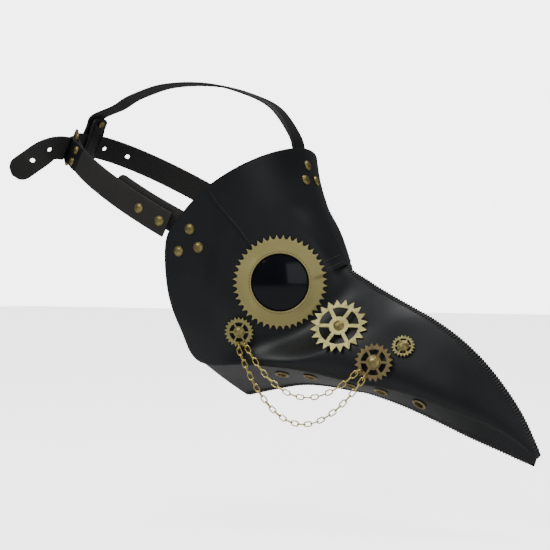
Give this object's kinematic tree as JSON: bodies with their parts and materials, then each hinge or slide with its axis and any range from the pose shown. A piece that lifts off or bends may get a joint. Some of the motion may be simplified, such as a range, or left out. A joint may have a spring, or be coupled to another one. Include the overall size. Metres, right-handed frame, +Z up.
{
  "type": "plague doctor mask",
  "caption": "Beaked leather plague doctor mask with goggle lenses, riveted cog trims, swinging chains and a buckled head strap.",
  "frame": {"origin": "between the wearer's eyes, where the face meets the mask", "axes": "+X along the beak, +Y to the wearer's left, +Z up as worn"},
  "size_m": [0.5017, 0.1741, 0.3381],
  "materials": {
    "mask_leather": "smooth black leather, semi-gloss",
    "strap_leather": "black strap leather",
    "lining_leather": "flesh side",
    "gold_leather": "gold-painted leather",
    "dark_glass": "dark gloss",
    "pale_brass": "satin",
    "dark_bronze": "aged",
    "rivet_brass": "antique",
    "eyelet_brass": "antique",
    "buckle_brass": "aged",
    "gold_wire": "bright"
  },
  "bodies": {
    "mask": {"forehead_panel": "mask_leather", "side_panel_right": "mask_leather", "side_panel_left": "mask_leather", "chin_panel_right": "mask_leather", "chin_panel_left": "mask_leather", "eye_ring_right": "gold_leather", "eye_ring_left": "gold_leather", "lens_right": "dark_glass", "lens_left": "dark_glass", "lens_backing_right": "lining_leather", "lens_backing_left": "lining_leather", "anchor_strap_right": "strap_leather", "anchor_strap_left": "strap_leather", "buckle_strap": "strap_leather", "billet_strap": "strap_leather", "crown_strap": "strap_leather", "forehead_rivets": "rivet_brass", "flap_rivets_right": "rivet_brass", "flap_rivets_left": "rivet_brass", "strap_rivets_right": "rivet_brass", "strap_rivets_left": "rivet_brass", "buckle_rivets": "rivet_brass", "crown_rivets": "rivet_brass", "vent_eyelets_right": "eyelet_brass", "vent_eyelets_left": "eyelet_brass", "medium_gear_right": "dark_bronze", "medium_gear_left": "dark_bronze", "small_gear_right": "pale_brass", "small_gear_left": "pale_brass", "large_gear_rivet_right": "rivet_brass", "large_gear_rivet_left": "rivet_brass", "medium_gear_rivet_right": "rivet_brass", "medium_gear_rivet_left": "rivet_brass", "small_gear_rivet_right": "rivet_brass", "small_gear_rivet_left": "rivet_brass", "tiny_gear_rivet_right": "rivet_brass", "tiny_gear_rivet_left": "rivet_brass", "chain_rings_right": "gold_wire"},
    "large_gear_right": {"large_gear_right": "pale_brass"},
    "tiny_gear_right": {"tiny_gear_right": "pale_brass"},
    "outer_chain_right": {"outer_chain_right": "gold_wire"},
    "inner_chain_right": {"inner_chain_right": "gold_wire"},
    "large_gear_left": {"large_gear_left": "pale_brass"},
    "tiny_gear_left": {"tiny_gear_left": "pale_brass"},
    "buckle": {"buckle_frame": "buckle_brass"},
    "prong": {"buckle_prong": "buckle_brass"}
  },
  "joints": [
    {"name": "large_gear_spin_right", "type": "hinge", "parent": "mask", "child": "large_gear_right", "pos_m": [0.08708, -0.03238, -0.04667], "axis": [0.2719, -0.8397, 0.4701], "continuous": true},
    {"name": "tiny_gear_spin_right", "type": "hinge", "parent": "mask", "child": "tiny_gear_right", "pos_m": [0.14383, -0.02473, -0.06084], "axis": [0.3525, -0.8198, 0.4513], "continuous": true},
    {"name": "outer_chain_swing_right", "type": "hinge", "parent": "mask", "child": "outer_chain_right", "pos_m": [0.00301, -0.06301, -0.06548], "axis": [-0.975, -0.1155, 0.1896], "range_deg": [0, 40]},
    {"name": "inner_chain_swing_right", "type": "hinge", "parent": "mask", "child": "inner_chain_right", "pos_m": [0.0099, -0.06061, -0.06361], "axis": [-0.9783, -0.1021, 0.1801], "range_deg": [0, 40]},
    {"name": "large_gear_spin_left", "type": "hinge", "parent": "mask", "child": "large_gear_left", "pos_m": [0.08708, 0.03238, -0.04667], "axis": [0.2719, 0.8397, 0.4701], "continuous": true},
    {"name": "tiny_gear_spin_left", "type": "hinge", "parent": "mask", "child": "tiny_gear_left", "pos_m": [0.14383, 0.02473, -0.06084], "axis": [0.3525, 0.8198, 0.4513], "continuous": true},
    {"name": "buckle_swing", "type": "hinge", "parent": "mask", "child": "buckle", "pos_m": [-0.20595, -0.04339, 0.12021], "axis": [0.4751, 0, 0.8799], "range_deg": [0, 8]},
    {"name": "prong_lift", "type": "hinge", "parent": "buckle", "child": "prong", "pos_m": [-0.20595, -0.04339, 0.12021], "axis": [0.4751, 0, 0.8799], "range_deg": [0, 10]}
  ]
}
